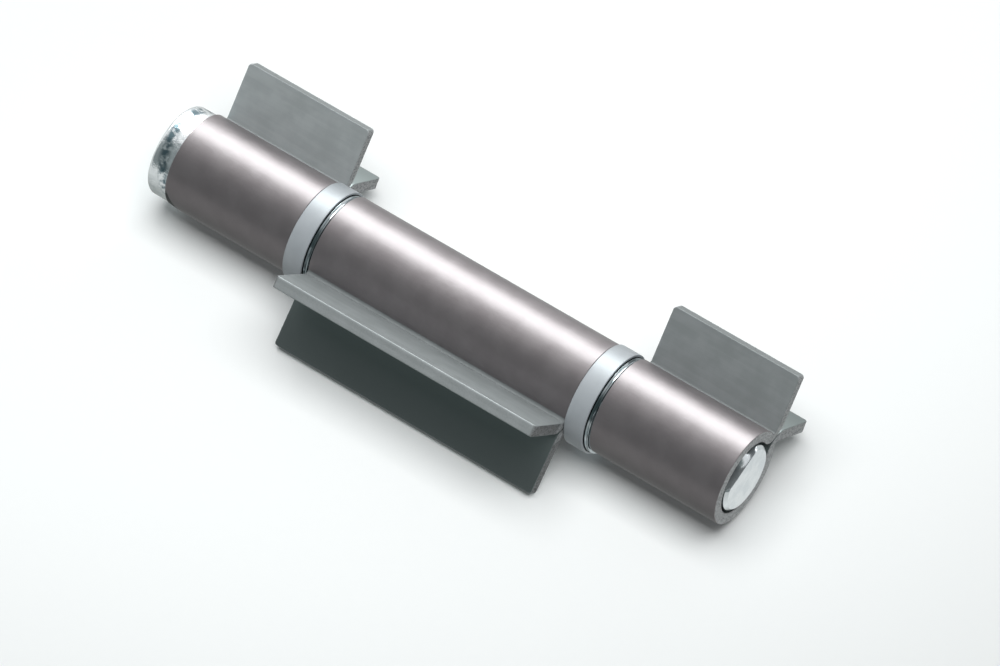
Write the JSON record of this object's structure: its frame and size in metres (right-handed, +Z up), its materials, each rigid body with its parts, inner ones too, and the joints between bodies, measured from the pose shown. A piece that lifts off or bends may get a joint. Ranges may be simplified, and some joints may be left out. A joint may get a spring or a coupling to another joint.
{
  "type": "weld-on hinge",
  "caption": "Three-part weld-on hinge: rolled steel barrels with V-shaped weld wings, shielded thrust bearings between them and a headed pin.",
  "frame": {"origin": "on the surface that the hinge lies on, below the middle of its box", "axes": "+X along the pin from its head to its plain end, +Z up, +Y towards the wings of the two outer leaves"},
  "size_m": [0.1344, 0.0428, 0.0235],
  "materials": {
    "leaf_steel": "bare cold-rolled sheet, satin",
    "pin_zinc": "bright zinc plate",
    "shell_zinc": "matte zinc plate",
    "race_steel": "turned, bright zinc plate",
    "slide_polymer": "moulded acetal"
  },
  "bodies": {
    "lower_leaf": {"lower_leaf": "leaf_steel", "lower_bearing_race": "race_steel"},
    "door_leaf": {"door_leaf": "leaf_steel"},
    "upper_leaf": {"upper_leaf": "leaf_steel"},
    "hinge_pin": {"hinge_pin": "pin_zinc"},
    "lower_shell": {"lower_bearing_shell": "shell_zinc", "lower_slide_ring": "slide_polymer"},
    "upper_shell": {"upper_bearing_shell": "shell_zinc", "upper_slide_ring": "slide_polymer"},
    "upper_race": {"upper_bearing_race": "race_steel"}
  },
  "joints": [
    {"name": "door_swing", "type": "hinge", "parent": "lower_leaf", "child": "door_leaf", "pos_m": [0.00217, -0.00016, 0.01108], "axis": [1, 0, 0], "continuous": true},
    {"name": "upper_leaf_turn", "type": "hinge", "parent": "lower_leaf", "child": "upper_leaf", "pos_m": [-0.04797, -0.00016, 0.01108], "axis": [1, 0, 0], "continuous": true},
    {"name": "pin_slide", "type": "slide", "parent": "lower_leaf", "child": "hinge_pin", "axis": [-1, 0, 0], "range_m": [0, 0.12955]},
    {"name": "lower_shell_turn", "type": "hinge", "parent": "lower_leaf", "child": "lower_shell", "pos_m": [0.03243, -0.0003, 0.01065], "axis": [1, 0, 0], "continuous": true},
    {"name": "upper_shell_turn", "type": "hinge", "parent": "lower_leaf", "child": "upper_shell", "pos_m": [-0.03358, -0.0003, 0.01065], "axis": [1, 0, 0], "continuous": true},
    {"name": "upper_race_turn", "type": "hinge", "parent": "lower_leaf", "child": "upper_race", "pos_m": [-0.03358, -0.0003, 0.01065], "axis": [1, 0, 0], "continuous": true}
  ],
  "couplings": [
    {"joint": "lower_shell_turn", "follows": "door_swing", "ratio": 1},
    {"joint": "upper_shell_turn", "follows": "upper_leaf_turn", "ratio": 1},
    {"joint": "upper_race_turn", "follows": "door_swing", "ratio": 1}
  ]
}
